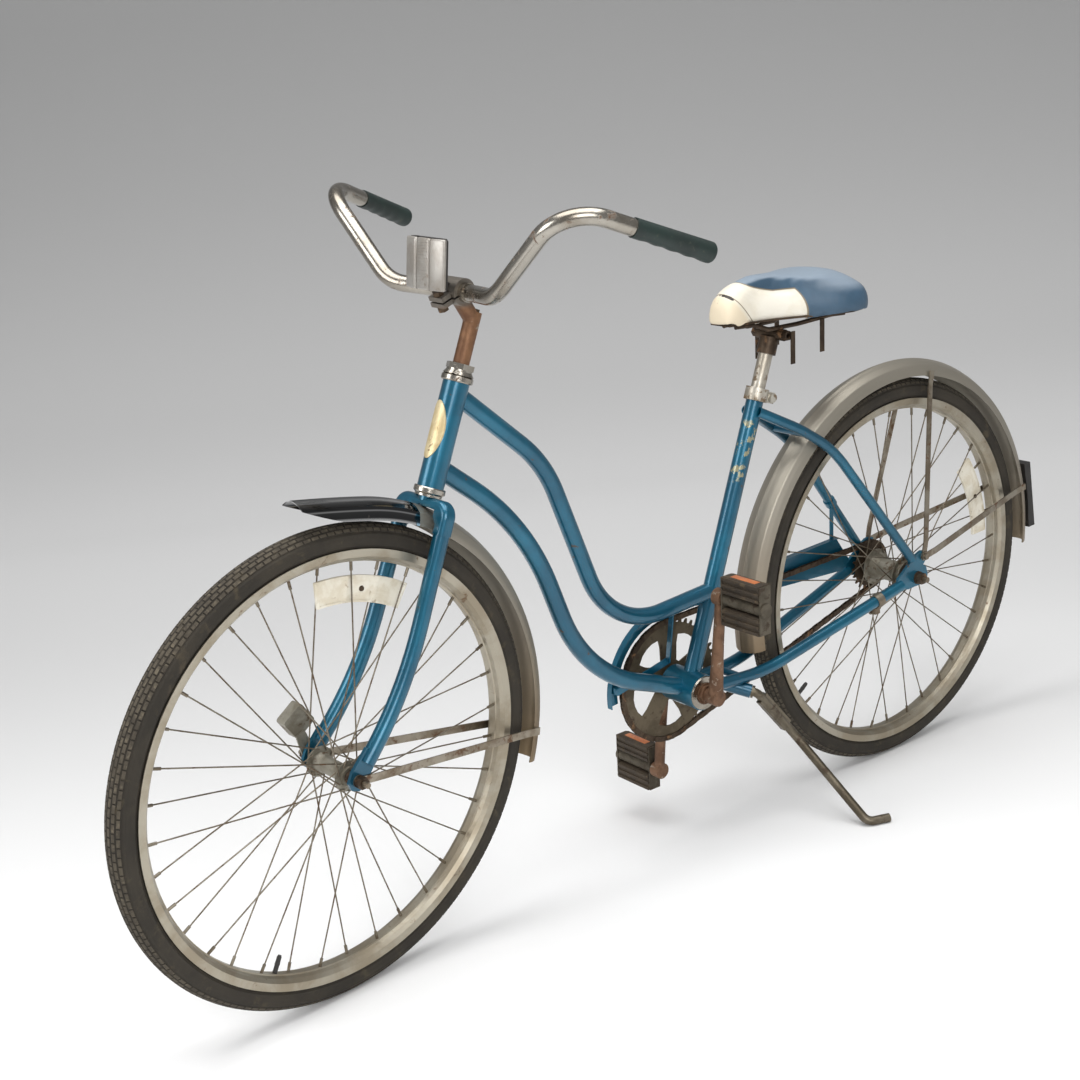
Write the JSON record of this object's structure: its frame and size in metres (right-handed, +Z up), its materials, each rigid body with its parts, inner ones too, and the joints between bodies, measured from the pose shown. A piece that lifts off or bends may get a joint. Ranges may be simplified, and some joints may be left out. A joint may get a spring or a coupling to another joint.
{
  "type": "cruiser bicycle",
  "caption": "Step-through cruiser bicycle with coaster brake hub, swept-back bars, fenders, padded saddle and side kickstand; wheels, steering, cranks and pedals turn.",
  "frame": {"origin": "on the floor under the middle of the overall box, with the bicycle standing on its kickstand", "axes": "+X forwards, +Y to the rider's left, +Z up from the floor"},
  "size_m": [1.8258, 0.6096, 1.0694],
  "materials": {
    "paint": "metallic teal, worn",
    "chrome": "pitted chrome with brown patina",
    "steel": "dull rusty steel",
    "tyre": "dusty brown-black rubber",
    "rubber": "aged rubber",
    "grip": "dark green rubber",
    "lens_clear": "aged clear reflector",
    "lens_red": "red reflector",
    "case": "dark plastic",
    "vinyl": "aged white and blue vinyl over padding"
  },
  "bodies": {
    "frame": {"head_tube": "paint", "head_badge": "chrome", "headset_cups": "chrome", "top_tube": "paint", "down_tube": "paint", "seat_tube": "paint", "bb_shell": "paint", "bb_cups": "chrome", "chain_stays": "paint", "seat_stays": "paint", "dropouts": "paint", "kickstand_housing": "paint", "seat_collar": "chrome", "rear_fender": "chrome", "rear_fender_stays": "chrome", "rear_reflector_case": "case", "rear_reflector_lens": "lens_red", "chain_guard": "paint", "guard_bracket": "paint", "chain": "steel", "rear_axle": "steel", "rear_axle_hardware": "steel", "brake_arm": "steel"},
    "seat": {"seat_post": "chrome", "saddle_cushion": "vinyl", "saddle_pan": "steel", "saddle_clamp": "steel"},
    "steering": {"fork": "paint", "headset_cones": "chrome", "stem": "chrome", "stem_bolts": "steel", "handlebar": "chrome", "grips": "grip", "front_reflector_case": "case", "front_reflector_lens": "lens_clear", "front_fender": "chrome", "front_fender_stays": "chrome", "front_axle": "steel", "front_axle_hardware": "steel", "mileage_counter": "case"},
    "front_wheel": {"front_hub": "chrome", "front_spokes": "steel", "front_rim": "chrome", "front_tyre": "tyre", "front_spoke_reflector": "lens_clear"},
    "rear_wheel": {"rear_hub": "chrome", "rear_spokes": "steel", "rear_rim": "chrome", "rear_tyre": "tyre", "rear_spoke_reflector": "lens_clear"},
    "rear_driver": {"rear_cog": "steel"},
    "crank": {"crank": "steel", "chainwheel": "steel", "crank_hardware": "steel"},
    "left_pedal": {"left_pedal_cage": "steel", "left_pedal_blocks": "rubber"},
    "right_pedal": {"right_pedal_cage": "steel", "right_pedal_blocks": "rubber"},
    "kickstand": {"kickstand_leg": "chrome"}
  },
  "joints": [
    {"name": "steering_turn", "type": "hinge", "parent": "frame", "child": "steering", "pos_m": [0.39719, -0.01935, 0.66852], "axis": [-0.3746, 0.0808, 0.9237], "range_deg": [-65, 55]},
    {"name": "front_wheel_spin", "type": "hinge", "parent": "steering", "child": "front_wheel", "pos_m": [0.58401, -0.04487, 0.32838], "axis": [-0.0856, 0.9889, -0.1213], "continuous": true},
    {"name": "rear_wheel_spin", "type": "hinge", "parent": "frame", "child": "rear_wheel", "pos_m": [-0.53081, -0.04907, 0.32882], "axis": [0, 0.9962, -0.0872], "continuous": true},
    {"name": "crank_spin", "type": "hinge", "parent": "frame", "child": "crank", "pos_m": [-0.05581, -0.05561, 0.25411], "axis": [0, 0.9962, -0.0872], "continuous": true},
    {"name": "driver_spin", "type": "hinge", "parent": "frame", "child": "rear_driver", "pos_m": [-0.53081, -0.04907, 0.32882], "axis": [0, 0.9962, -0.0872], "continuous": true},
    {"name": "left_pedal_spin", "type": "hinge", "parent": "crank", "child": "left_pedal", "pos_m": [-0.05581, -0.04122, 0.41848], "axis": [0, 0.9962, -0.0872], "continuous": true},
    {"name": "right_pedal_spin", "type": "hinge", "parent": "crank", "child": "right_pedal", "pos_m": [-0.05581, -0.06999, 0.08973], "axis": [0, 0.9962, -0.0872], "continuous": true},
    {"name": "kickstand_fold", "type": "hinge", "parent": "frame", "child": "kickstand", "pos_m": [-0.15481, -0.02101, 0.22498], "axis": [-0.5947, 0.7357, -0.3242], "range_deg": [0, 90]},
    {"name": "seat_height", "type": "slide", "parent": "frame", "child": "seat", "axis": [-0.3404, 0.082, 0.9367], "range_m": [-0.02, 0.06]}
  ],
  "couplings": [
    {"joint": "driver_spin", "follows": "crank_spin", "ratio": 2.4}
  ]
}
